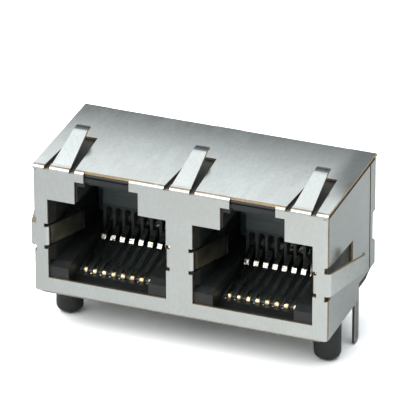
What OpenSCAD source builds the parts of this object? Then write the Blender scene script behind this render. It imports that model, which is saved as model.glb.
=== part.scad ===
// Shielded modular jack with two ports side by side, side entry, latch side up, for a circuit board.
// X runs along the row of ports, Y from the ports' mouths to the rear, Z up from the board.
// The origin lies on the board's surface, midway between the two locating pegs.
// Inside the modules Y is measured from the shield's front face and Z from the board.

/* [Ports] */
// Width of each port's opening in the shield
opening_w = 12.7; // [12.4:0.1:13]
// Width of the front face between the two openings
post_w = 2.8; // [2.6:0.1:5]
// Width of the front face between an opening and the side of the jack
edge_w = 1.575; // [1.5:0.025:3]
// Height of the opening's sill above the board
sill_z = 1.9; // [1.6:0.1:2.6]
// Height from the sill to the shoulders of the opening
shoulder_h = 8.9; // [8.2:0.1:10]
// Width of the step above the shoulders, where the plug's latch enters
latch_w = 6.8; // [6.6:0.1:8]
// Height of that step
latch_h = 2.5; // [2:0.1:3.5]
// Width of the notch that runs on from the step through the top edge
notch_w = 4.85; // [3.5:0.05:6]
// Height from the step to the top of the jack
crown_h = 1.2; // [1:0.1:2]

/* [Shield] */
// Depth of the shield, front face to rear face
shield_d = 14.6; // [14.2:0.1:18]
// Thickness of the sheet
sheet_t = 0.25; // [0.2:0.01:0.3]
// Outer radius of the sheet's bends
bend_r = 0.45; // [0.4:0.01:0.6]
// Height of the side panels' lower edges above the board
edge_z = 0.3; // [0.2:0.05:0.6]
// Depth of the lip folded under the front face
lip_d = 2.8; // [1.5:0.1:3.2]
// Length of front face left without a lip at each side
lip_relief = 0.83; // [0.6:0.01:1.5]
// Height of the rear panel's lower edge above the board
rear_z = 2.1; // [1.6:0.1:3]
// Depth of the flanges that the rear panel sends round the sides
flange_d = 1.85; // [1.5:0.05:3]
// Gap between such a flange and the side panel, and under the top plate's edge
seam = 0.3; // [0.1:0.05:0.5]
// Depth of the slots that ease the rear bend
rear_slot_d = 0.38; // [0.3:0.01:0.45]
// Length of each bridge left in the rear bend
bridge_w = 2.75; // [2:0.05:4]

/* [Spring fingers] */
// Distance from the outer top fingers' centre lines to the sides of the jack
finger_inset = 2.875; // [2.5:0.025:5]
// Width of a top finger at its root
finger_w = 2.1; // [1.8:0.1:2.4]
// Width of a top finger at its tip
finger_tip_w = 1.3; // [1:0.05:1.6]
// Distance from the front face to the crest of a top finger
finger_reach = 6.5; // [6:0.1:6.6]
// Rise of the top fingers above the top plate, from left to right
finger_rise = [1.65, 1.6, 1.55]; // [1:0.05:2.2]
// Outer radius of a top finger's crest
finger_crest_r = 1.1; // [0.6:0.1:1.3]
// Slope of the end that is turned down past the crest
finger_fall = 40; // [20:5:50]
// Distance from the front face to the rear edge of a finger's window
window_d = 7.5; // [7.2:0.1:9]
// Width of the slot on each side of a top finger's root
finger_slot = 0.68; // [0.5:0.01:0.8]
// Width of a side finger at its root
side_finger_w = 2.65; // [2:0.05:3]
// Width of a side finger at its tip
side_finger_tip_w = 1.8; // [1.4:0.1:2]
// Width of the slot on each side of a side finger's root
side_finger_slot = 0.58; // [0.4:0.01:0.7]
// Distance from the front face to the crest of a side finger
side_finger_reach = 5.8; // [5:0.1:6.4]
// Height of the side fingers' centre line above the board
side_finger_z = 6.66; // [6:0.01:8]
// Reach of the side fingers past the side panels
side_finger_out = 1.9; // [1.5:0.05:2.2]
// Width of the earthing tabs inside the ports
tab_w = 2.05; // [1.6:0.05:2.4]
// Height of the tabs' centre line above the board
tab_z = 6.58; // [6:0.01:8]
// Distance that the tabs stand in from the opening's edges
tab_in = 2; // [1:0.1:2.4]
// Distance from the front face to a tab's crest
tab_reach = 4.9; // [4:0.1:6]

/* [Legs and pegs] */
// Width of a leg of the shield
leg_w = 1.3; // [1:0.1:1.8]
// Distance from the front face to a leg's centre line
leg_y = 8.85; // [8:0.05:10]
// Length of a leg below the board's surface
leg_len = 4.4; // [3:0.1:5]
// Diameter of a locating peg
peg_d = 2.8; // [2.4:0.05:2.8]
// Distance from a peg's axis to the side of the jack
peg_inset = 1.75; // [1.75:0.05:3]
// Distance from the front face to the pegs' axes
peg_y = 5.08; // [4.6:0.02:5.6]
// Length of a peg below the board's surface
peg_len = 4.15; // [3:0.05:5]
// Radius of the edge of a peg's end
peg_round = 0.6; // [0.3:0.1:1]

/* [Housing] */
// Distance that the walls of the cavity for the plug stand in from the opening's edges
cavity_inset = 0.4; // [0.3:0.05:0.6]
// Height above the board of the ledges that the plug slides on
ledge_z = 3.45; // [3.2:0.05:3.9]
// Height above the board of the floor between the ledges
floor_z = 0.95; // [0.8:0.05:1.05]
// Width of the channel between the ledges
channel_w = 8.6; // [8.4:0.1:9.4]
// Width of the channel for the plug's latch
latch_channel_w = 6.4; // [6.1:0.1:6.6]
// Height above the board of the ridge in front of the strips' bends
guard_z = 1.65; // [1.4:0.05:1.7]
// Thickness of the bar across the front of the latch channel
bar_d = 1.9; // [1.4:0.1:2.6]
// Height of the bar's foot below the step in the shield
bar_drop = 0.6; // [0.3:0.05:0.9]
// Depth of the pads that hold the underside off the board
pad_d = 3.9; // [3:0.1:4]
// Height of the underside above the board
under_z = 1.05; // [0.8:0.05:1.3]
// Free play between the housing and the shield round it
housing_gap = 0.06; // [0.03:0.01:0.12]

/* [Contacts] */
// Distance between neighbouring contact strips in a port
contact_pitch = 1.016; // [0.98:0.002:1.04]
// Width of a contact strip
contact_w = 0.5; // [0.4:0.01:0.52]
// Thickness of a contact strip
contact_t = 0.3; // [0.2:0.01:0.34]
// Outer radius of the strips' front bend
front_bend_r = 0.55; // [0.54:0.01:0.66]
// Distance from the front face to the axis of that bend
front_bend_y = 3.3; // [3.2:0.02:3.5]
// Slope of the strips from the front bend to the step
spring_angle = 9; // [8.5:0.25:10]
// Distance from the front face to the step in the strips
step_y = 7.9; // [7.7:0.1:8]
// Slope of that step
step_angle = 57; // [50:1:60]
// Length of the step
step_len = 0.65; // [0.55:0.05:0.7]
// Slope of the strips past the step
run_angle = 25; // [22:1:27]
// Distance from the front face to the ends that are turned up in the comb
end_y = 9.95; // [9.9:0.05:10.1]
// Slope of those ends
end_angle = 45; // [35:1:50]
// Length of those ends
end_len = 1.3; // [1:0.1:1.5]
// Distance between neighbouring solder tails
tail_pitch = 1.27; // [1.2:0.01:1.3]
// Distance from the pegs' axes to the first row of tails
tail_row_y = 5.08; // [4.9:0.02:5.4]
// Distance between the two rows of tails
tail_rows_gap = 2.54; // [2:0.02:2.6]
// Length of a tail below the board's surface
tail_len = 3.6; // [2.5:0.1:4]

/* [Contact carriers] */
// Distance from the front face to the comb that guides the strips
comb_y = 9.6; // [9.2:0.1:10]
// Width of a slot in the comb
comb_slot_w = 0.72; // [0.6:0.01:0.8]
// Height of the comb slots' crowns above the board
comb_top_z = 5.75; // [5.6:0.05:6.4]
// Depth of the comb slots
comb_slot_d = 2; // [1.6:0.1:2.2]
// Thickness of the plate behind the comb
back_d = 1.6; // [1.2:0.1:1.8]
// Free play between a carrier and the housing
carrier_gap = 0.08; // [0.04:0.01:0.15]
// Free play between a strip and the carrier
contact_gap = 0.05; // [0.03:0.01:0.06]

/* [Hidden] */
$fn = 48;
SIDES = ["left", "right"];
STRIPS = 8;
strip_names = [for (side = SIDES, i = [1:STRIPS]) str("contact_", side, "_", i)];

arc_steps = 8; // straight steps in a rounded corner of a strip's path
over = 1; // how far a cutting shape runs past what it cuts
shield_colour = "silver";
plastic_colour = "#26282a";
contact_colour = "goldenrod";

// Small clearances
play = 0.1; // between a shape and what it only has to clear
hairline = 0.02; // keeps two faces from lying in one plane

// Outer shape
port_pitch = opening_w + post_w;
half_w = port_pitch / 2 + opening_w / 2 + edge_w;
shoulder_z = sill_z + shoulder_h;
step_z = shoulder_z + latch_h;
top_z = step_z + crown_h;
side_top_z = top_z - sheet_t - seam;
side_end_y = shield_d - flange_d - seam;
lip_half_w = half_w - lip_relief;
bend_mid_r = bend_r - sheet_t / 2;

// Cuts round fingers and tabs
tab_notch = 0.42; // height of the notch above and below a tab
notch_depth = 0.4; // how far notches and slots bite past an edge or bend
finger_root_r = 0.8;
tip_round = 0.35; // corners of a finger's end
side_curl = 0.65; // length of a side finger's turned-in end
crest_r = 0.35; // bend at the crest of a side finger or tab
root_seat = 0.2; // how far a finger's or tab's root runs into the sheet
tab_curl = [0.3, 0.55]; // sideways and rearward length of a tab's turned-out end
window_taper = 0.55; // what each side of a finger's window closes in towards the rear
side_bulge = 0.25; // how far a side finger's root stands past the corner
finger_x = half_w - finger_inset;

// Slots and windows of the rear bend
rear_slot_h = 0.9;
notch_cut_y = 0.35; // how far back the openings are cut, which leaves the top plate's edge in the notch
flange_window_z = [4.6, 8.15];
flange_window_d = 1.1;

// Legs
leg_tip_z = -leg_len;
groove_w = 0.4; // coined groove down the outside of each leg
groove_d = 0.09;

// Housing
front_y = sheet_t + housing_gap;
rear_y = shield_d - sheet_t - housing_gap;
housing_half_w = half_w - sheet_t - housing_gap;
housing_top_z = top_z - sheet_t - housing_gap;
housing_floor_z = sheet_t + housing_gap;
edge_cut = max(bend_r - sheet_t - housing_gap, hairline); // clears the inside of the shield's bends
lip_clear_y = lip_d + play;
heel_d = 2.3; // depth of the rear end that rises
heel_y = shield_d - heel_d;
heel_rise = 0.7;
cavity_w = opening_w - 2 * cavity_inset;
ceiling_z = shoulder_z + play;
latch_ceiling_z = step_z + play;
bar_foot_z = step_z - bar_drop;
bar_recess_d = 0.75;
bar_groove_drop = 0.72; // height from the groove in the bar to the top of the jack
bar_groove_z = top_z - bar_groove_drop;
bar_groove = 0.16;
lead_in_d = 0.95; // depth of the sloped mouth of each cavity
ledge_lead_in = 0.35;
pocket_depth = 0.6; // how far the tabs' pockets reach past the opening's edges
pocket_margin = 0.25;
peg_x = half_w - peg_inset;
pad_y = peg_y - pad_d / 2;
pad_half_w = 2;
guard_d = 0.5;
peg_shoulder = 0.4; // how far a peg's pad reaches past the peg
tail_slot_margin = 0.25;
fan_start_d = 1.44; // from the front bend's axis to where the strips start to fan out

// Contacts and carriers
run_z = floor_z + play; // underside of the strips' lower run
run_mid_z = run_z + contact_t / 2;
bend_z = run_z + front_bend_r;
bend_mid = front_bend_r - contact_t / 2;
nose_r = front_bend_r - contact_t - contact_gap;
fan_start_y = front_bend_y + fan_start_d;
strip_bend_r = 0.3; // bends in the middle line of a strip past its front bend
tail_lead = 0.96; // straight run of a strip between the fan and its tail
fan_end_y = peg_y + tail_row_y - tail_lead;
strip_end_x = (STRIPS - 1) / 2;
widest_pitch = (channel_w / 2 - play - contact_w / 2) / strip_end_x; // of strips clear of the channel's walls
fan_share = (widest_pitch - contact_pitch) / (tail_pitch - contact_pitch); // of the fan that has a floor under it
floor_end_y = fan_start_y + (fan_end_y - fan_start_y) * fan_share;
carrier_base_z = bend_z - nose_r;
carrier_half_w = channel_w / 2 - carrier_gap;
carrier_top_z = ceiling_z - 3 * play;
carrier_rear_y = rear_y - 3 * play;
back_y = carrier_rear_y - back_d;
back_half_w = cavity_w / 2 - carrier_gap;
tail_slot_w = (STRIPS - 1) * tail_pitch + contact_w + 2 * tail_slot_margin;

// ---------- paths and strips ----------

function unit(v) = v / norm(v);
function left_of(v) = [-v[1], v[0]];
function turned(v, a) = [v[0] * cos(a) - v[1] * sin(a), v[0] * sin(a) + v[1] * cos(a)];

// Points that round corner q of the path p, q, s to radius r
function corner(p, q, s, r) =
    let (
        a = unit(p - q),
        b = unit(s - q),
        half = acos(a * b) / 2,
        centre = q + unit(a + b) * r / sin(half),
        first = q + a * r / tan(half) - centre,
        sweep = (180 - 2 * half) * sign(cross(q - p, s - q))
    )
    [for (i = [0:arc_steps]) centre + turned(first, sweep * i / arc_steps)];

// A path whose inner corners are rounded to the given radii
function rounded(path, radii) =
    let (last = len(path) - 1)
    [
        path[0],
        for (i = [1:last - 1]) each corner(path[i - 1], path[i], path[i + 1], radii[i - 1]),
        path[last]
    ];

// Arc of radius r over a crest, from where a straight run from the given point meets it to the given fall
function over_crest(from, crest, r, fall) =
    let (
        centre = crest - [0, r],
        reach = centre - from,
        slope = atan2(reach[1], reach[0]) + asin(r / norm(reach))
    )
    [for (i = [0:arc_steps]) centre + turned([0, r], slope - (slope + fall) * i / arc_steps)];

// Sideways step that keeps a strip's thickness constant round its path's corners
function mitre(path, i) =
    let (
        last = len(path) - 1,
        before = left_of(unit(path[max(i, 1)] - path[max(i, 1) - 1])),
        after = left_of(unit(path[min(i, last - 1) + 1] - path[min(i, last - 1)]))
    )
    (before + after) / (1 + before * after);

// Outline of a strip of thickness t whose middle line is the path
function strip_outline(path, t) =
    let (last = len(path) - 1)
    concat(
        [for (i = [0:last]) path[i] + mitre(path, i) * t / 2],
        [for (i = [last:-1:0]) path[i] - mitre(path, i) * t / 2]
    );

// ---------- placing ----------

// From the shield's front face to the part's own frame
module in_board_frame() translate([0, -peg_y, 0]) children();

// Stands an outline drawn in Y and Z up, and draws it out along X
module along_x(x0, x1) translate([x0, 0, 0]) rotate([90, 0, 90]) linear_extrude(x1 - x0) children();

// Draws an outline in X and Y out along Z
module along_z(z0, z1) translate([0, 0, z0]) linear_extrude(z1 - z0) children();

// Box between two corners
module box(low, high) translate(low) cube(high - low);

module both_sides() {
    children();
    mirror([1, 0, 0]) children();
}

module at_ports() {
    for (side = [-1, 1])
        translate([side * port_pitch / 2, 0, 0]) children();
}

// ---------- shield ----------

// Quarter of a bend, in the corner where both coordinates are below the bend's centre
module bend_2d() {
    difference() {
        intersection() {
            circle(r = bend_r);
            translate([-bend_r, -bend_r]) square(bend_r);
        }
        circle(r = bend_r - sheet_t);
    }
}

// Side view of the top plate with its front and rear bends
module top_outline() {
    translate([bend_r, top_z - bend_r]) mirror([0, 1]) bend_2d();
    translate([bend_r, top_z - sheet_t]) square([shield_d - 2 * bend_r, sheet_t]);
    translate([shield_d - bend_r, top_z - bend_r]) rotate(180) bend_2d();
}

// Side view of the front face, the top plate and the rear panel in one
module wrap_outline() {
    top_outline();
    translate([0, bend_r]) square([sheet_t, top_z - 2 * bend_r]);
    translate([shield_d - sheet_t, rear_z]) square([sheet_t, top_z - bend_r - rear_z]);
}

// Side view of the lip, its bend and the foot of the front face
module lip_outline() {
    translate([bend_r, bend_r]) bend_2d();
    translate([bend_r, 0]) square([lip_d - bend_r, sheet_t]);
    translate([0, bend_r]) square([sheet_t, bend_r]);
}

// Plan of the bend at one corner, with short straight runs into the panels on both sides
module corner_outline() {
    bend_2d();
    translate([-bend_r, 0]) square([sheet_t, play]);
    translate([0, -bend_r]) square([play, sheet_t]);
}

// Outline of one side panel with its leg, in Y and Z
module side_panel_outline() {
    leg_back_y = leg_y + leg_w / 2;
    translate([bend_r, edge_z]) square([leg_back_y - bend_r, side_top_z - edge_z]);
    translate([bend_r, rear_z]) square([side_end_y - bend_r, side_top_z - rear_z]);
    translate([leg_y - leg_w / 2, leg_tip_z + leg_w / 2]) square([leg_w, edge_z - leg_tip_z]);
    translate([leg_y, leg_tip_z + leg_w / 2]) circle(d = leg_w);
}

// The opening of one port, centred on it, in X and Z
module opening_outline() {
    translate([-opening_w / 2, sill_z]) square([opening_w, shoulder_h]);
    translate([-latch_w / 2, shoulder_z - over]) square([latch_w, latch_h + over]);
    translate([-notch_w / 2, step_z - over]) square([notch_w, crown_h + 2 * over]);
    notched_h = tab_w + 2 * tab_notch;
    translate([-opening_w / 2 - notch_depth, tab_z - notched_h / 2])
        square([opening_w + 2 * notch_depth, notched_h]);
}

module folded_sheet() {
    corner_top_z = top_z - bend_r - seam / 3;
    along_x(-half_w, half_w) top_outline();
    along_x(bend_r - half_w, half_w - bend_r) wrap_outline();
    along_x(-lip_half_w, lip_half_w) lip_outline();
    both_sides() {
        box([lip_half_w, 0, edge_z], [half_w - bend_r, sheet_t, 2 * bend_r]);
        along_z(edge_z, corner_top_z) translate([half_w - bend_r, bend_r]) rotate(90) corner_outline();
        along_x(half_w - sheet_t, half_w) side_panel_outline();
        along_z(rear_z, corner_top_z)
            translate([half_w - bend_r, shield_d - bend_r]) rotate(180) corner_outline();
        box([half_w - sheet_t, shield_d - flange_d, rear_z], [half_w, shield_d - bend_r, side_top_z]);
    }
}

// Trapezium that narrows from half width a at the front to half width b at the given distance
module taper_2d(a, b, from, to) polygon([[-a, from], [a, from], [b, to], [-b, to]]);

// Window of a finger, drawn flat: its centre line runs along Y
module finger_window_2d(root_w, slot_w) {
    a = root_w / 2 + slot_w;
    taper_2d(a, a - window_taper, -over, window_d);
}

// Finger drawn flat, from its root to its end, whose corners are rounded
module finger_2d(root_w, tip_w, root_y, tip_y) {
    root = [[-root_w / 2, root_y], [root_w / 2, root_y]];
    tip = [[tip_w / 2, tip_y], [-tip_w / 2, tip_y]];
    polygon(concat(
        root,
        corner(root[1], tip[0], tip[1], tip_round),
        corner(tip[0], tip[1], root[0], tip_round)
    ));
}

// What is cut away beside the root and under the length of one top finger
module top_window_cut()
    along_z(top_z - sheet_t - play, top_z + over)
        difference() {
            finger_window_2d(finger_w, finger_slot);
            translate([-finger_w / 2, -2 * over]) square([finger_w, 2 * over + bend_r + notch_depth]);
        }

// What is cut away for a side finger, whose root starts on the front face
module side_window_cut() {
    inner_x = half_w - sheet_t - play;
    translate([0, 0, side_finger_z])
        rotate([0, 90, 0])
            along_z(inner_x, half_w + over) finger_window_2d(side_finger_w, side_finger_slot);
    box(
        [inner_x, -over, side_finger_z - side_finger_w / 2 - side_finger_slot],
        [half_w + over, bend_r + notch_depth, side_finger_z + side_finger_w / 2 + side_finger_slot]
    );
}

module rear_bend_cuts() {
    slot_y = shield_d - rear_slot_d;
    both_sides()
        box(
            [bridge_w / 2, slot_y, top_z - rear_slot_h],
            [half_w - bridge_w, shield_d + over, top_z + over]
        );
    both_sides()
        box(
            [half_w - bend_r - notch_depth, shield_d - flange_window_d, flange_window_z[0]],
            [half_w + over, shield_d + over, flange_window_z[1]]
        );
}

// Spring finger on the top edge, rising to its crest and turned down at its end
module top_finger(rise) {
    mid_z = top_z - sheet_t / 2;
    start = [bend_r + notch_depth / 2, mid_z];
    root = [bend_r + notch_depth, mid_z];
    crest = over_crest(root, [finger_reach, mid_z + rise], finger_crest_r - sheet_t / 2, finger_fall);
    path = concat([start], corner(start, root, crest[0], finger_root_r), crest);
    intersection() {
        along_x(-finger_w / 2, finger_w / 2) polygon(strip_outline(path, sheet_t));
        along_z(top_z - over, top_z + rise + over)
            finger_2d(finger_w, finger_tip_w, 0, finger_reach + finger_crest_r * sin(finger_fall));
    }
}

// Spring finger that leaves the front corner and stands out from the right side
module side_finger() {
    mid_x = half_w - sheet_t / 2 + side_bulge;
    path = rounded(
        [
            [half_w - bend_r - notch_depth - root_seat, sheet_t / 2],
            [mid_x, sheet_t / 2],
            [half_w + side_finger_out - sheet_t / 2, side_finger_reach],
            [half_w + side_finger_out - sheet_t / 2 - side_curl / 2, side_finger_reach + side_curl]
        ],
        [bend_mid_r, crest_r]
    );
    intersection() {
        along_z(side_finger_z - side_finger_w / 2, side_finger_z + side_finger_w / 2)
            polygon(strip_outline(path, sheet_t));
        translate([0, 0, side_finger_z])
            rotate([0, 90, 0])
                along_z(0, half_w + side_finger_out + over)
                    finger_2d(side_finger_w, side_finger_tip_w, -over, side_finger_reach + side_curl);
    }
}

// Earthing tab folded in from the right edge of a port's opening
module port_tab() {
    edge_x = opening_w / 2;
    mid_x = edge_x + sheet_t / 2;
    crest_x = edge_x - tab_in + sheet_t / 2;
    path = rounded(
        [
            [edge_x + notch_depth + root_seat, sheet_t / 2],
            [mid_x, sheet_t / 2],
            [crest_x, tab_reach],
            [crest_x + tab_curl[0], tab_reach + tab_curl[1]]
        ],
        [bend_mid_r, crest_r]
    );
    along_z(tab_z - tab_w / 2, tab_z + tab_w / 2) polygon(strip_outline(path, sheet_t));
}

// Coined groove down the outside of the right leg
module leg_groove()
    along_z(leg_tip_z + leg_w / 2, edge_z)
        polygon([
            [half_w - groove_d, leg_y],
            [half_w + groove_d, leg_y - groove_w],
            [half_w + groove_d, leg_y + groove_w]
        ]);

module shield() in_board_frame() color(shield_colour) {
    difference() {
        folded_sheet();
        at_ports()
            translate([0, notch_cut_y, 0])
                rotate([90, 0, 0])
                    linear_extrude(notch_cut_y + over) opening_outline();
        for (x = [-finger_x, 0, finger_x]) translate([x, 0, 0]) top_window_cut();
        both_sides() side_window_cut();
        both_sides() leg_groove();
        rear_bend_cuts();
    }
    for (i = [0:2]) translate([(i - 1) * finger_x, 0, 0]) top_finger(finger_rise[i]);
    both_sides() side_finger();
    at_ports() both_sides() port_tab();
}

// ---------- housing ----------

// Side view of the housing's body, in Y and Z
module body_outline()
    polygon([
        [front_y + edge_cut, housing_floor_z],
        [lip_clear_y, housing_floor_z],
        [lip_clear_y, under_z],
        [heel_y, under_z],
        [rear_y - edge_cut, under_z + heel_rise],
        [rear_y, under_z + heel_rise + edge_cut],
        [rear_y, housing_top_z - edge_cut],
        [rear_y - edge_cut, housing_top_z],
        [front_y + edge_cut, housing_top_z],
        [front_y, housing_top_z - edge_cut],
        [front_y, housing_floor_z + edge_cut]
    ]);

// Plan of the housing's body, its four corners cut to clear the shield's bends
module body_plan() {
    x = housing_half_w;
    c = edge_cut;
    polygon([
        [-x, front_y + c], [-x + c, front_y], [x - c, front_y], [x, front_y + c],
        [x, rear_y - c], [x - c, rear_y], [-x + c, rear_y], [-x, rear_y - c]
    ]);
}

// Everything that is hollow in one port, centred on it
module port_cavity() {
    rear = rear_y + over;
    half = cavity_w / 2;
    mouth_half = opening_w / 2 - hairline;
    // plug tunnel, channel between the ledges and way out for the tails
    box([-half, -over, ledge_z], [half, rear, ceiling_z]);
    box([-channel_w / 2, -over, floor_z], [channel_w / 2, rear, ledge_z + over]);
    box([-tail_slot_w / 2, floor_end_y, -over], [tail_slot_w / 2, rear, run_z + contact_t + play]);
    box([-channel_w / 2, floor_end_y, -over], [channel_w / 2, rear, ledge_z]);
    // latch channel behind and below its bar
    box([-latch_channel_w / 2, -over, ceiling_z - over], [latch_channel_w / 2, front_y + bar_d, bar_foot_z]);
    box(
        [-latch_channel_w / 2, front_y + bar_d - hairline, ceiling_z - over],
        [latch_channel_w / 2, back_y, latch_ceiling_z]
    );
    // recess and groove in the bar's face
    box([-notch_w / 2, -over, bar_foot_z - over], [notch_w / 2, front_y + bar_recess_d, step_z]);
    box([-notch_w / 2, -over, bar_groove_z], [notch_w / 2, front_y + bar_groove, bar_groove_z + bar_groove]);
    // sloped mouth
    along_z(ledge_z, ceiling_z)
        polygon([
            [-mouth_half, -over], [mouth_half, -over], [mouth_half, front_y],
            [half, front_y + lead_in_d], [-half, front_y + lead_in_d], [-mouth_half, front_y]
        ]);
    along_x(-mouth_half, mouth_half)
        polygon([
            [-over, ledge_z - ledge_lead_in], [front_y, ledge_z - ledge_lead_in],
            [front_y + lead_in_d, ledge_z], [-over, ledge_z + over]
        ]);
    // pockets behind the earthing tabs
    pocket_half_w = opening_w / 2 + pocket_depth;
    pocket_half_h = tab_w / 2 + pocket_margin;
    box(
        [-pocket_half_w, -over, tab_z - pocket_half_h],
        [pocket_half_w, tab_reach + tab_curl[1] + pocket_margin, tab_z + pocket_half_h]
    );
}

// Peg with a rounded end, its top buried in the pad above it
module locating_peg()
    rotate_extrude()
        union() {
            translate([0, -peg_len + peg_round]) square([peg_d / 2, peg_len - peg_round + under_z]);
            translate([0, -peg_len]) square([peg_d / 2 - peg_round, peg_round]);
            intersection() {
                translate([peg_d / 2 - peg_round, -peg_len + peg_round]) circle(r = peg_round);
                translate([0, -peg_len]) square([peg_d / 2, peg_round]);
            }
        }

module housing() in_board_frame() color(plastic_colour) {
    difference() {
        intersection() {
            along_x(-housing_half_w, housing_half_w) body_outline();
            along_z(-over, top_z + over) body_plan();
        }
        at_ports() port_cavity();
    }
    // ridges in front of the strips' bends
    guard_y = front_bend_y - front_bend_r - play - guard_d;
    at_ports()
        box(
            [-channel_w / 2 - play, guard_y, floor_z - play],
            [channel_w / 2 + play, guard_y + guard_d, guard_z]
        );
    // pads that stand on the board
    box([-pad_half_w, pad_y, 0], [pad_half_w, pad_y + pad_d, under_z]);
    both_sides() {
        box(
            [peg_x - peg_d / 2 - peg_shoulder, pad_y, 0],
            [housing_half_w, pad_y + pad_d, under_z]
        );
        translate([peg_x, peg_y, 0]) locating_peg();
    }
}

// ---------- contact carriers ----------

module comb_slot() {
    r = comb_slot_w / 2;
    foot_z = carrier_base_z + 2 * nose_r;
    translate([0, comb_y + comb_slot_d, 0]) rotate([90, 0, 0]) linear_extrude(comb_slot_d + over) {
        translate([-r, foot_z]) square([2 * r, comb_top_z - r - foot_z]);
        translate([0, comb_top_z - r]) circle(r = r);
    }
}

module carrier_body() {
    base_top_z = carrier_base_z + 2 * nose_r;
    w = carrier_half_w;
    // base under the strips, with the nose that they bend round
    box([-w, front_bend_y, carrier_base_z], [w, carrier_rear_y, base_top_z]);
    translate([-w, front_bend_y, bend_z]) rotate([0, 90, 0]) cylinder(r = nose_r, h = 2 * w);
    // comb wall and the wider plate behind it
    difference() {
        box([-w, comb_y, carrier_base_z], [w, carrier_rear_y, carrier_top_z]);
        for (i = [0:STRIPS - 1]) translate([(i - strip_end_x) * contact_pitch, 0, 0]) comb_slot();
    }
    box([-back_half_w, back_y, ledge_z + carrier_gap], [back_half_w, carrier_rear_y, carrier_top_z]);
}

module contact_carrier(side)
    in_board_frame()
        color(plastic_colour)
            translate([side * port_pitch / 2, 0, 0]) carrier_body();

// ---------- contacts ----------

// Middle line of a strip from its lower run round the front bend to its free end, in Y and Z
function spring_path() =
    let (
        centre = [front_bend_y, bend_z],
        leave = 90 + spring_angle,
        bend = [for (i = [0:2 * arc_steps])
            centre + bend_mid * turned([1, 0], 270 - (270 - leave) * i / (2 * arc_steps))],
        start = bend[len(bend) - 1],
        foot = [step_y, start[1] + (step_y - start[0]) * tan(spring_angle)],
        head = foot + step_len * [cos(step_angle), sin(step_angle)],
        turn = [end_y, head[1] + (end_y - head[0]) * tan(run_angle)],
        tip = turn + end_len * [cos(end_angle), sin(end_angle)]
    )
    concat(
        [[fan_start_y, run_mid_z]],
        bend,
        corner(start, foot, head, strip_bend_r),
        corner(foot, head, turn, strip_bend_r),
        corner(head, turn, tip, strip_bend_r),
        [tip]
    );

// Middle line of a solder tail, in Y and Z
function tail_path(row_y) = rounded(
    [[fan_end_y, run_mid_z], [row_y, run_mid_z], [row_y, -tail_len]],
    [contact_t]
);

// Strip number i (0 at the left) of a port, centred on the port
module strip(i) {
    x = (i - strip_end_x) * contact_pitch;
    tail_x = (i - strip_end_x) * tail_pitch;
    row_y = peg_y + tail_row_y + (i % 2) * tail_rows_gap;
    w = contact_w / 2;
    along_x(x - w, x + w) polygon(strip_outline(spring_path(), contact_t));
    along_z(run_z, run_z + contact_t)
        polygon([
            [x - w, fan_start_y], [x + w, fan_start_y],
            [tail_x + w, fan_end_y], [tail_x - w, fan_end_y]
        ]);
    along_x(tail_x - w, tail_x + w) polygon(strip_outline(tail_path(row_y), contact_t));
}

module contact(side, i)
    in_board_frame()
        color(contact_colour)
            translate([side * port_pitch / 2, 0, 0]) strip(i);

shield();
housing();
contact_carrier(-1);  // contact_carrier_left
contact_carrier(1);  // contact_carrier_right
for (s = [0, 1], i = [0:STRIPS - 1])
    contact(2 * s - 1, i);
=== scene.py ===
import math

import bpy
from mathutils import Matrix, Vector
from mathutils.bvhtree import BVHTree


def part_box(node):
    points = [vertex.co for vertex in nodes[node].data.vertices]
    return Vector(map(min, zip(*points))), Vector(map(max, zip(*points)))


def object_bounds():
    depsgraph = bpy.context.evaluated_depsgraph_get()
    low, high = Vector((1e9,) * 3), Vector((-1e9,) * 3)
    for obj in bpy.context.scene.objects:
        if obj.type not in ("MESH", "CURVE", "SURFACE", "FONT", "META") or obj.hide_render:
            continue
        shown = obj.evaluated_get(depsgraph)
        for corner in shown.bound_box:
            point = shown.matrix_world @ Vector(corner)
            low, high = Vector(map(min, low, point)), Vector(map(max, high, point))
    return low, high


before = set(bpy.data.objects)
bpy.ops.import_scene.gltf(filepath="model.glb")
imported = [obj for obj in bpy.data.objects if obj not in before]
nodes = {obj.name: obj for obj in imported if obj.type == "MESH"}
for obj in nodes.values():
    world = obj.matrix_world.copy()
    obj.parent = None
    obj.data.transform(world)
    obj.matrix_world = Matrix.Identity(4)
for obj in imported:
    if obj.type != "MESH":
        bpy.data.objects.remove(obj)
cad_low, cad_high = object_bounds()
shield_low, shield_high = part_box("shield")
carrier_low, carrier_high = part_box("contact_carrier_right")
housing_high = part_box("housing")[1]

MM = 0.001

# sizes of the part that its boxes don't give
SHEET_T = 0.25 * MM         # thickness of the shield's sheet
BEND_R = 0.45 * MM          # outer radius of the shield's bends
HOUSING_GAP = 0.06 * MM     # between the housing and the inside of the shield
EDGE_Z = 0.3 * MM           # the shield's lower edge
COMB_TOP_Z = 5.75 * MM      # the crowns of the slots in the contact carriers
CONTACTS = 8                # in each port
CONTACT_PITCH = 1.016 * MM  # where the strips lie side by side, at their front bend

# places that they do give
FRONT_Y = shield_low.y                           # the shield's front face
REAR_Y = shield_high.y                           # the shield's rear face
SHIELD_D = REAR_Y - FRONT_Y
HALF_W = housing_high.x + HOUSING_GAP + SHEET_T  # middle of the shield to its side panels
TOP_Z = housing_high.z + HOUSING_GAP + SHEET_T   # the shield's top plate
PORT_X = (carrier_low.x + carrier_high.x) / 2    # middle of the shield to a port's

# curves that only bump gives: a face drops by this times the distance squared, all in metres
CROWN = 7.2                 # the shield's panels, from the middle to the front and rear
SPAN_CROWN = 0.2            # the same panels, from the middle to the left and right
DROOP = 42.0                # the top plate, towards its right end
DROOP_X = 12.2 * MM         # where that starts, from the middle of the shield
TURN = 450.0                # the top fingers, towards their tips
TURN_Y = 5.55 * MM          # where that starts, from the front face
STRIP_ROUND = 1000.0        # a contact strip, from its middle to its edges

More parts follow.
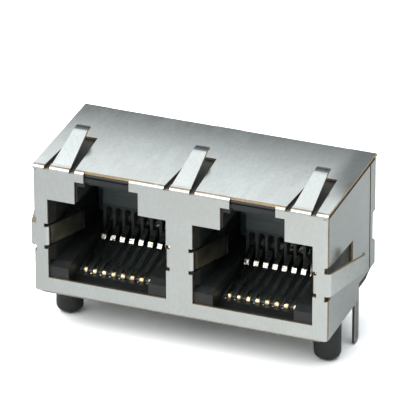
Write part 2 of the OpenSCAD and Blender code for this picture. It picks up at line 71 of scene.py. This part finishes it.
# where a finish changes
FLUSH, PROUD = 0.02 * MM, 0.06 * MM         # off a panel: still its own bend, and already a finger
GOLD_END, TIN_START = 3.0 * MM, 4.2 * MM    # along a contact strip, from the front face
LIT_Z, DARK_Z = 1.75 * MM, 1.5 * MM         # down a strip's front bend, to the painted shade on its underside
LEG_FADE = 0.4 * MM                         # above and below the board's face, to the darker grey painted on the legs as shade

scene = bpy.context.scene
scene.view_settings.view_transform = "Standard"


# ---------------------------------------------------------------- camera

def add_camera():
    """Long lens, from the right and above, placed from the middle of the shield's lower front edge."""
    azimuth = math.radians(20.998)
    elevation = math.radians(27.966)
    roll = math.radians(-0.209)
    distance = 536.54 * MM
    aim_right, aim_up = 2.462 * MM, 11.14 * MM
    back = Vector((
        math.sin(azimuth) * math.cos(elevation),
        -math.cos(azimuth) * math.cos(elevation),
        math.sin(elevation),
    ))
    level = Vector((math.cos(azimuth), math.sin(azimuth), 0))
    rise = back.cross(level)
    right = level * math.cos(roll) + rise * math.sin(roll)
    up = rise * math.cos(roll) - level * math.sin(roll)
    foot = Vector((0, FRONT_Y, EDGE_Z))
    data = bpy.data.cameras.new("camera")
    data.sensor_width = 36
    data.lens = 473.7
    data.clip_start, data.clip_end = 0.01, 20
    cam = bpy.data.objects.new("camera", data)
    cam.matrix_world = Matrix((right, up, back)).transposed().to_4x4()
    cam.matrix_world.translation = foot + right * aim_right + up * aim_up + back * distance
    scene.collection.objects.link(cam)
    scene.camera = cam


# ---------------------------------------------------------------- node helpers

class Tree:
    """Short hand for building the node tree of a material or the world."""

    def __init__(self, owner):
        owner.use_nodes = True
        self.owner = owner
        self.tree = owner.node_tree
        self.tree.nodes.clear()

    def plug(self, socket, value):
        """Link another node's output to the socket, or write a plain value on it."""
        if isinstance(value, bpy.types.NodeSocket):
            self.tree.links.new(value, socket)
        else:
            socket.default_value = value

    def add(self, kind, inputs=None, **settings):
        node = self.tree.nodes.new(kind)
        for key, value in settings.items():
            setattr(node, key, value)
        for key, value in (inputs or {}).items():
            self.plug(node.inputs[key], value)
        return node

    def math(self, operation, a, b=0.0):
        return self.add("ShaderNodeMath", {0: a, 1: b}, operation=operation).outputs[0]

    def product(self, first, *others):
        for other in others:
            first = self.math("MULTIPLY", first, other)
        return first

    def past(self, value, start):
        """How far value is past start, and 0 before it."""
        return self.math("MAXIMUM", self.math("SUBTRACT", value, start), 0.0)

    def step(self, value, low, high, to_low=0.0, to_high=1.0):
        """Smooth change from to_low to to_high as value goes from low to high."""
        node = self.add(
            "ShaderNodeMapRange",
            {"Value": value, "From Min": low, "From Max": high, "To Min": to_low, "To Max": to_high},
            interpolation_type="SMOOTHSTEP",
        )
        return node.outputs["Result"]

    def mix(self, factor, a, b):
        """Colour from a to b; this node's sockets share their names, so they go by number."""
        node = self.add("ShaderNodeMix", {0: factor}, data_type="RGBA")
        self.plug(node.inputs[6], a)
        self.plug(node.inputs[7], b)
        return node.outputs[2]

    def position(self):
        return self.add("ShaderNodeTexCoord").outputs["Object"]

    def normal(self):
        return self.add("ShaderNodeTexCoord").outputs["Normal"]

    def split(self, vector):
        return tuple(self.add("ShaderNodeSeparateXYZ", {0: vector}).outputs)

    def noise(self, vector, scale, detail, roughness, stretch=(1, 1, 1)):
        placed = self.add("ShaderNodeMapping", {"Vector": vector, "Scale": stretch}).outputs[0]
        node = self.add(
            "ShaderNodeTexNoise",
            {"Vector": placed, "Scale": scale, "Detail": detail, "Roughness": roughness},
        )
        return node.outputs["Fac"]

    def bump(self, height, strength, distance, normal=None):
        inputs = {"Height": height, "Strength": strength, "Distance": distance}
        if normal is not None:
            inputs["Normal"] = normal
        return self.add("ShaderNodeBump", inputs).outputs[0]

    def form(self, height, normal=None):
        """Bump that takes height as it is, in metres."""
        return self.bump(height, 1.0, 1.0, normal)

    def finish(self, shader, kind="ShaderNodeOutputMaterial"):
        out = self.add(kind)
        self.tree.links.new(shader.outputs[0], out.inputs[0])

    def surface(self, colour, rough, normal, metallic=0.0):
        """End a material with the plain shader, and give the material."""
        self.finish(self.add("ShaderNodeBsdfPrincipled", {
            "Base Color": colour, "Metallic": metallic, "Roughness": rough, "Normal": normal,
        }))
        return self.owner


def rgb(red, green, blue):
    return (red, green, blue, 1.0)


# ---------------------------------------------------------------- materials

def in_ports(t, x, y, z):
    """1 in the ports, away from the shield's own six sides, and 0 on those."""
    behind_front = t.step(y, FRONT_Y + 2 * SHEET_T, FRONT_Y + 4 * SHEET_T)
    before_rear = t.step(y, REAR_Y - 2 * MM, REAR_Y - 3 * MM)
    between_sides = t.step(t.math("ABSOLUTE", x), HALF_W - 1.2 * MM, HALF_W - 1.5 * MM)
    under_top = t.step(z, TOP_Z - 1.0 * MM, TOP_Z - 1.4 * MM)
    above_floor = t.step(z, 1.0 * MM, 1.4 * MM)
    return t.product(behind_front, before_rear, between_sides, under_top, above_floor)


def bend_wear_and_reflection(t, x, y, z, smear):
    """Up to 1 on the round of the bends at the front and the sides, 0 on flat panels and on fingers:
    where worn plating and a painted dark reflection go.
    """
    _, ny, nz = t.split(t.normal())
    # a face on the round looks partly to the front, and on a lower bend also down
    ahead = t.math("ABSOLUTE", ny)
    turned = t.product(t.step(ahead, 0.02, 0.14), t.step(ahead, 0.66, 0.4))
    under = t.product(t.step(nz, -0.15, -0.4), t.step(ahead, 0.04, 0.15), 0.8)
    wide = t.math("ABSOLUTE", x)
    at_side = t.step(wide, HALF_W - 1.2 * BEND_R, HALF_W - 1.1 * BEND_R)
    at_front = t.step(y, FRONT_Y + 1.2 * BEND_R, FRONT_Y + 1.1 * BEND_R)
    return t.product(
        t.math("MAXIMUM", turned, under),
        t.math("MAXIMUM", at_side, at_front),
        t.step(z, TOP_Z + PROUD, TOP_Z + FLUSH),
        t.step(wide, HALF_W + PROUD, HALF_W + FLUSH),
        t.step(smear, 0.2, 0.6, 0.6, 1.0),
    )


def pressed_form(t, x, y, z):
    """The sheet's large curves: panels a little crowned, the top plate drooping, fingers turned down."""
    nz = t.split(t.normal())[2]
    along = t.math("SUBTRACT", y, FRONT_Y + SHIELD_D / 2)
    crown = t.math("ADD", t.product(along, along, -CROWN), t.product(x, x, -SPAN_CROWN))
    past = t.past(x, DROOP_X)
    droop = t.product(past, past, t.step(nz, 0.5, 0.9, 0.0, -DROOP))
    droop = t.product(droop, t.step(y, FRONT_Y + 2 * MM, FRONT_Y + 10 * MM))
    past = t.past(y, FRONT_Y + TURN_Y)
    turn = t.product(past, past, t.step(z, TOP_Z + 0.5 * MM, TOP_Z + 0.8 * MM, 0.0, -TURN))
    return t.form(turn, t.form(t.math("ADD", crown, droop)))


def nickel():
    """Nickel-plated sheet with a fine rolled grain, brown on the bends from worn plating and a painted
    dark reflection.
    """
    t = Tree(bpy.data.materials.new("nickel_sheet"))
    place = t.position()
    x, y, z = t.split(place)
    grain = t.noise(place, 7000, 3, 0.6, (1.0, 0.3, 0.3))
    fine = t.noise(place, 22000, 2, 0.5)
    cloud = t.noise(place, 260, 3, 0.55)
    smear = t.noise(place, 900, 3, 0.6, (1.0, 0.25, 0.5))
    colour = t.mix(t.step(grain, 0.25, 0.75), rgb(0.615, 0.635, 0.625), rgb(0.69, 0.71, 0.70))
    colour = t.mix(t.step(cloud, 0.35, 0.7, 0.0, 0.35), colour, rgb(0.60, 0.60, 0.56))
    # brown on the bends' round: worn plating, and partly a painted dark reflection
    colour = t.mix(bend_wear_and_reflection(t, x, y, z, smear), colour, rgb(0.27, 0.195, 0.115))
    # painted shade: inside the ports the sheet, the earthing tabs with it, is darker grey in streaks
    port_shade = t.mix(t.step(smear, 0.3, 0.7), rgb(0.26, 0.26, 0.225), rgb(0.46, 0.45, 0.40))
    colour = t.mix(in_ports(t, x, y, z), colour, port_shade)
    # painted shade: the solder legs are darker grey
    colour = t.mix(t.step(z, LEG_FADE, -LEG_FADE, 0.0, 0.6), colour, rgb(0.42, 0.43, 0.42))
    rough = t.step(smear, 0.3, 0.7, 0.2, 0.27)
    grit = t.math("ADD", t.product(grain, 0.7), t.product(fine, 0.3))
    shape = t.bump(grit, 0.5, 0.004 * MM, pressed_form(t, x, y, z))
    shape = t.bump(cloud, 0.4, 0.03 * MM, shape)
    return t.surface(colour, rough, shape, metallic=1.0)


def raw_edge():
    """Cut edge of the sheet: bare copper alloy with the shear marks of the die."""
    t = Tree(bpy.data.materials.new("raw_edge"))
    place = t.position()
    x, y, z = t.split(place)
    marks = t.noise(place, 14000, 2, 0.6)
    broad = t.noise(place, 1500, 3, 0.6)
    colour = t.mix(t.step(marks, 0.3, 0.7), rgb(0.34, 0.22, 0.11), rgb(0.76, 0.58, 0.35))
    colour = t.mix(t.step(broad, 0.45, 0.75, 0.0, 0.5), colour, rgb(0.62, 0.58, 0.50))
    # painted shade: the cut edges inside the ports are near black
    colour = t.mix(in_ports(t, x, y, z), colour, rgb(0.12, 0.112, 0.095))
    # painted shade: the solder legs' cut edges are dark grey all round
    colour = t.mix(t.step(z, LEG_FADE, -LEG_FADE), colour, rgb(0.17, 0.17, 0.165))
    shape = t.bump(marks, 0.6, 0.012 * MM)
    return t.surface(colour, 0.42, shape, metallic=0.9)


def plastic(name, base, rough, face=None):
    """
    Glass-filled moulding with a fine eroded texture and faint flow marks, paler on rubbed spots.
    Above the comb it is painted the colour of face, if that is given, in streaks: a painted sheen.
    """
    t = Tree(bpy.data.materials.new(name))
    place = t.position()
    fine = t.noise(place, 12000, 3, 0.6)
    flow = t.noise(place, 900, 4, 0.55, (1.0, 0.6, 1.8))
    spots = t.noise(place, 3800, 2, 0.5)
    pale = rgb(*(1.7 * channel for channel in base[:3]))
    colour = t.mix(t.step(flow, 0.35, 0.75, 0.0, 0.6), base, pale)
    colour = t.mix(t.step(spots, 0.62, 0.8, 0.0, 0.5), colour, rgb(0.09, 0.10, 0.105))
    # painted sheen: the carrier's face above the comb is paler, in streaks
    if face:
        z = t.split(place)[2]
        above = t.step(z, COMB_TOP_Z + 0.1 * MM, COMB_TOP_Z + 0.4 * MM)
        streak = t.noise(place, 5000, 2, 0.6, (0.05, 1.0, 1.0))
        colour = t.mix(t.product(above, t.step(streak, 0.3, 0.7, 0.7, 1.0)), colour, face)
    gloss = t.step(flow, 0.3, 0.7, rough - 0.06, rough + 0.08)
    shape = t.bump(fine, 0.5, 0.012 * MM)
    shape = t.bump(flow, 0.35, 0.06 * MM, shape)
    return t.surface(colour, gloss, shape)


def contact_metal():
    """Spring strip: gold round the front bend, matt tin over the rest, painted near black where it dives
    below: painted shade.
    """
    t = Tree(bpy.data.materials.new("contact_metal"))
    place = t.position()
    x, y, z = t.split(place)
    grain = t.noise(place, 16000, 2, 0.5, (1.0, 0.04, 0.04))
    blot = t.noise(place, 1400, 3, 0.6)
    gold = t.mix(t.step(grain, 0.3, 0.7), rgb(0.80, 0.62, 0.36), rgb(0.92, 0.76, 0.50))
    # painted shade: the lower half of the front bend is near black
    gold = t.mix(t.step(z, LIT_Z, DARK_Z), gold, rgb(0.05, 0.045, 0.035))
    tin = t.mix(t.step(blot, 0.3, 0.7), rgb(0.48, 0.46, 0.40), rgb(0.60, 0.58, 0.50))
    # the line between gold and tin wanders a little
    ragged = t.math("ADD", y, t.product(t.math("SUBTRACT", blot, 0.5), 0.8 * MM))
    tinned = t.step(ragged, FRONT_Y + GOLD_END, FRONT_Y + TIN_START)
    colour = t.mix(tinned, gold, tin)
    rough = t.step(blot, 0.3, 0.7, 0.2, 0.26)
    shape = t.bump(grain, 0.4, 0.003 * MM)
    shape = t.bump(blot, 1.0, 0.10 * MM, shape)
    # rolled edges on the gold, where the strips lie one pitch apart
    pitches = t.math("DIVIDE", t.math("SUBTRACT", t.math("ABSOLUTE", x), PORT_X), CONTACT_PITCH)
    off = t.product(t.math("SUBTRACT", t.math("FRACT", pitches), 0.5), CONTACT_PITCH)
    shape = t.form(t.product(off, off, -STRIP_ROUND, t.math("SUBTRACT", 1.0, tinned)), shape)
    return t.surface(colour, rough, shape, metallic=1.0)


def dress(node, *materials):
    mesh = nodes[node].data
    mesh.materials.clear()
    for material in materials:
        mesh.materials.append(material)


def mark_cut_edges(node):
    """Second material on every face that the die cut: the metal behind it is deeper than the sheet."""
    skin = 0.02 * SHEET_T     # a ray starts this far under its own face, to miss it
    cut_depth = 1.3 * SHEET_T
    mesh = nodes[node].data
    corners = [v.co for v in mesh.vertices]
    tree = BVHTree.FromPolygons(corners, [tuple(p.vertices) for p in mesh.polygons])
    for polygon in mesh.polygons:
        inward = -polygon.normal
        place, _, _, depth = tree.ray_cast(polygon.center + inward * skin, inward)
        polygon.material_index = 1 if place is None or depth > cut_depth else 0


# ---------------------------------------------------------------- stage and light

def add_floor():
    """Pale ground, white for the camera. As a light from below it is darker behind and on the left, and
    so is what metal reflects of it: painted shade.
    """
    reach = 3.0     # from the middle to each edge
    corners = [(-reach, -reach, 0), (reach, -reach, 0), (reach, reach, 0), (-reach, reach, 0)]
    mesh = bpy.data.meshes.new("floor")
    mesh.from_pydata(corners, [], [(0, 1, 2, 3)])
    floor = bpy.data.objects.new("floor", mesh)
    floor.location = (0, 0, cad_low.z)
    scene.collection.objects.link(floor)
    t = Tree(bpy.data.materials.new("floor"))
    seen = t.add("ShaderNodeLightPath").outputs["Is Camera Ray"]
    x, y, _ = t.split(t.position())
    # painted shade: the floor's colour for other rays is darker on the left and behind
    front = t.mix(t.step(x, -2 * HALF_W, HALF_W), rgb(0.62, 0.62, 0.61), rgb(0.79, 0.79, 0.77))
    behind = t.step(y, FRONT_Y, FRONT_Y + 1.2 * SHIELD_D)
    colour = t.mix(behind, front, rgb(0.45, 0.465, 0.46))
    colour = t.mix(seen, colour, rgb(1.8, 1.795, 1.8))
    t.finish(t.add("ShaderNodeBsdfDiffuse", {"Color": colour}))
    mesh.materials.append(t.owner)


def add_world():
    """
    A plain studio: bright overhead, darker towards the back wall, paler in front, and white where the
    camera looks. Metal sees more of it bright than what lights the floor, so the part's shadow stays.
    """
    world = bpy.data.worlds.new("world")
    scene.world = world
    t = Tree(world)
    x, y, z = t.split(t.add("ShaderNodeTexCoord").outputs["Generated"])
    path = t.add("ShaderNodeLightPath")
    glossy = path.outputs["Is Glossy Ray"]
    behind = t.step(y, -0.3, 0.4)
    front = t.mix(glossy, rgb(0.10, 0.103, 0.106), rgb(0.75, 0.75, 0.74))
    colour = t.mix(behind, front, rgb(0.09, 0.10, 0.105))
    # the bright part starts lower for what metal shows than for what only lights
    shown, lit = t.step(z, 0.215, 0.60), t.step(z, 0.45, 0.80)
    bright = t.math("ADD", lit, t.product(glossy, t.math("SUBTRACT", shown, lit)))
    colour = t.mix(bright, colour, rgb(1.21, 1.27, 1.29))
    # high up in front stand the lamps, so metal shows less of the sky there
    ahead = t.product(glossy, t.math("SUBTRACT", 1.0, behind), t.step(z, 0.5, 0.75), 0.7)
    colour = t.mix(ahead, colour, rgb(0.12, 0.12, 0.12))
    # behind on the right it is dim
    dim = t.product(t.step(x, -0.30, -0.12), t.step(z, 0.9, 0.72), behind, 0.85)
    colour = t.mix(dim, colour, rgb(0.16, 0.17, 0.18))
    colour = t.mix(path.outputs["Is Camera Ray"], colour, rgb(1, 1, 1))
    ground = t.add("ShaderNodeBackground", {"Color": colour, "Strength": 1.0})
    t.finish(ground, "ShaderNodeOutputWorld")


def add_lamp(name, place, aim, size, watts, colour):
    data = bpy.data.lights.new(name, "AREA")
    data.shape = "RECTANGLE"
    data.size, data.size_y = size
    data.energy = watts
    data.color = colour
    lamp = bpy.data.objects.new(name, data)
    lamp.location = place
    lamp.rotation_euler = (Vector(aim) - Vector(place)).to_track_quat("-Z", "Y").to_euler()
    scene.collection.objects.link(lamp)


# ---------------------------------------------------------------- the scene

add_camera()
add_world()
add_floor()
add_lamp(
    "overhead", place=(-0.1, -0.3, 0.62), aim=(0, 0, 0),
    size=(0.9, 0.9), watts=2.75, colour=(0.97, 0.99, 1.0),
)
add_lamp(
    "front_fill", place=(-0.25, -0.45, 0.5), aim=(0, 0, 0.005),
    size=(0.5, 0.4), watts=1.3, colour=(1.0, 0.99, 0.97),
)

dress("shield", nickel(), raw_edge())
mark_cut_edges("shield")
dress("housing", plastic("black_plastic", rgb(0.019, 0.0205, 0.021), 0.42))
# the carrier's paler face above the comb is a painted sheen
carrier = plastic("carrier_plastic", rgb(0.06, 0.076, 0.084), 0.4, face=rgb(0.16, 0.195, 0.21))
strip = contact_metal()
for side in ("left", "right"):
    dress("contact_carrier_" + side, carrier)
    for i in range(1, CONTACTS + 1):
        dress(f"contact_{side}_{i}", strip)
